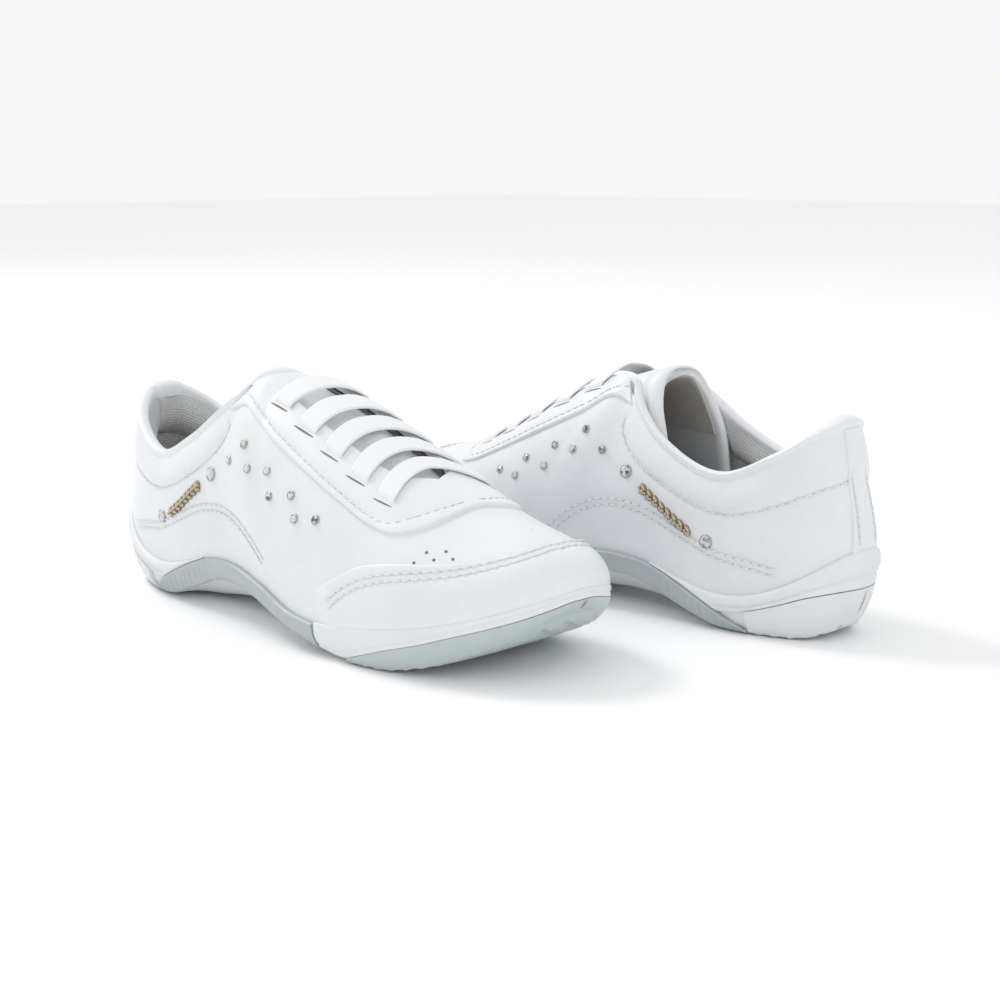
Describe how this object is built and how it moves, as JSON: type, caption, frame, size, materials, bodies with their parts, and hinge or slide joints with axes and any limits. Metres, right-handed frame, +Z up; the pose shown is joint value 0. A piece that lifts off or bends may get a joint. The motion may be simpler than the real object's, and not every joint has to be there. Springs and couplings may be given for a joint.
{
  "type": "pair of cheer shoes",
  "caption": "Pair of low white cheer shoes with stitched leather upper, padded tongue and collar, elastic lace bars, grey arch band and rhinestone trim.",
  "frame": {"origin": "on the ground, under the centre of the pair's bounding box", "axes": "+Z up; the shoes lie along X, the right one with its toe to +X and the left one with its toe to -X; both outer sides face -Y"},
  "size_m": [0.2966, 0.2092, 0.0972],
  "materials": {
    "upper_leather": "satin white synthetic leather",
    "sole_white": "white moulded sole unit",
    "foam": "white moulded EVA foam",
    "band_tpu": "pearl grey moulded plastic",
    "tread_rubber": "pale grey translucent rubber",
    "board": "pressed fibre board",
    "steel": "spring steel strip",
    "liner_fabric": "woven sock lining",
    "stiffener": "moulded stiffener sheet",
    "lining_mesh": "padded knitted lining",
    "tongue_fabric": "dark brushed textile lining",
    "elastic": "white woven elastic",
    "crystal": "clear faceted rhinestones",
    "silver": "polished cup settings",
    "badge_metal": "champagne metal with small clear stones"
  },
  "bodies": {
    "right_shoe": {"right_forefoot_outsole": "tread_rubber", "right_heel_outsole": "tread_rubber", "right_midsole": "foam", "right_lateral_arch_band": "band_tpu", "right_medial_arch_band": "band_tpu", "right_heel_cup": "sole_white", "right_foxing": "sole_white", "right_insole_board": "board", "right_shank": "steel", "right_sock_liner": "liner_fabric", "right_heel_counter": "stiffener", "right_toe_puff": "stiffener", "right_vamp": "upper_leather", "right_toe_cap": "upper_leather", "right_lateral_quarter": "upper_leather", "right_medial_quarter": "upper_leather", "right_eyestay": "upper_leather", "right_back_strip": "upper_leather", "right_padded_collar": "lining_mesh", "right_collar_lining": "lining_mesh", "right_lace_bars": "elastic", "right_small_stones": "crystal", "right_small_settings": "silver", "right_large_stones": "crystal", "right_large_settings": "silver", "right_badge": "badge_metal", "right_badge_backing": "stiffener"},
    "right_tongue_flap": {"right_tongue": "upper_leather", "right_tongue_lining": "tongue_fabric"},
    "left_shoe": {"left_forefoot_outsole": "tread_rubber", "left_heel_outsole": "tread_rubber", "left_midsole": "foam", "left_lateral_arch_band": "band_tpu", "left_medial_arch_band": "band_tpu", "left_heel_cup": "sole_white", "left_foxing": "sole_white", "left_insole_board": "board", "left_shank": "steel", "left_sock_liner": "liner_fabric", "left_heel_counter": "stiffener", "left_toe_puff": "stiffener", "left_vamp": "upper_leather", "left_toe_cap": "upper_leather", "left_lateral_quarter": "upper_leather", "left_medial_quarter": "upper_leather", "left_eyestay": "upper_leather", "left_back_strip": "upper_leather", "left_padded_collar": "lining_mesh", "left_collar_lining": "lining_mesh", "left_lace_bars": "elastic", "left_small_stones": "crystal", "left_small_settings": "silver", "left_large_stones": "crystal", "left_large_settings": "silver", "left_badge": "badge_metal", "left_badge_backing": "stiffener"},
    "left_tongue_flap": {"left_tongue": "upper_leather", "left_tongue_lining": "tongue_fabric"}
  },
  "joints": [
    {"name": "left_shoe_lift", "type": "slide", "parent": "right_shoe", "child": "left_shoe", "axis": [0, 0, 1], "range_m": [0, 0.15]},
    {"name": "right_tongue_fold", "type": "hinge", "parent": "right_shoe", "child": "right_tongue_flap", "pos_m": [0.03475, -0.05812, 0.0575], "axis": [0, 1, 0], "range_deg": [-8, 0], "stiffness_Nm_per_rad": 0.5},
    {"name": "left_tongue_fold", "type": "hinge", "parent": "left_shoe", "child": "left_tongue_flap", "pos_m": [-0.03475, 0.06288, 0.0575], "axis": [0, 1, 0], "range_deg": [0, 8], "stiffness_Nm_per_rad": 0.5}
  ]
}
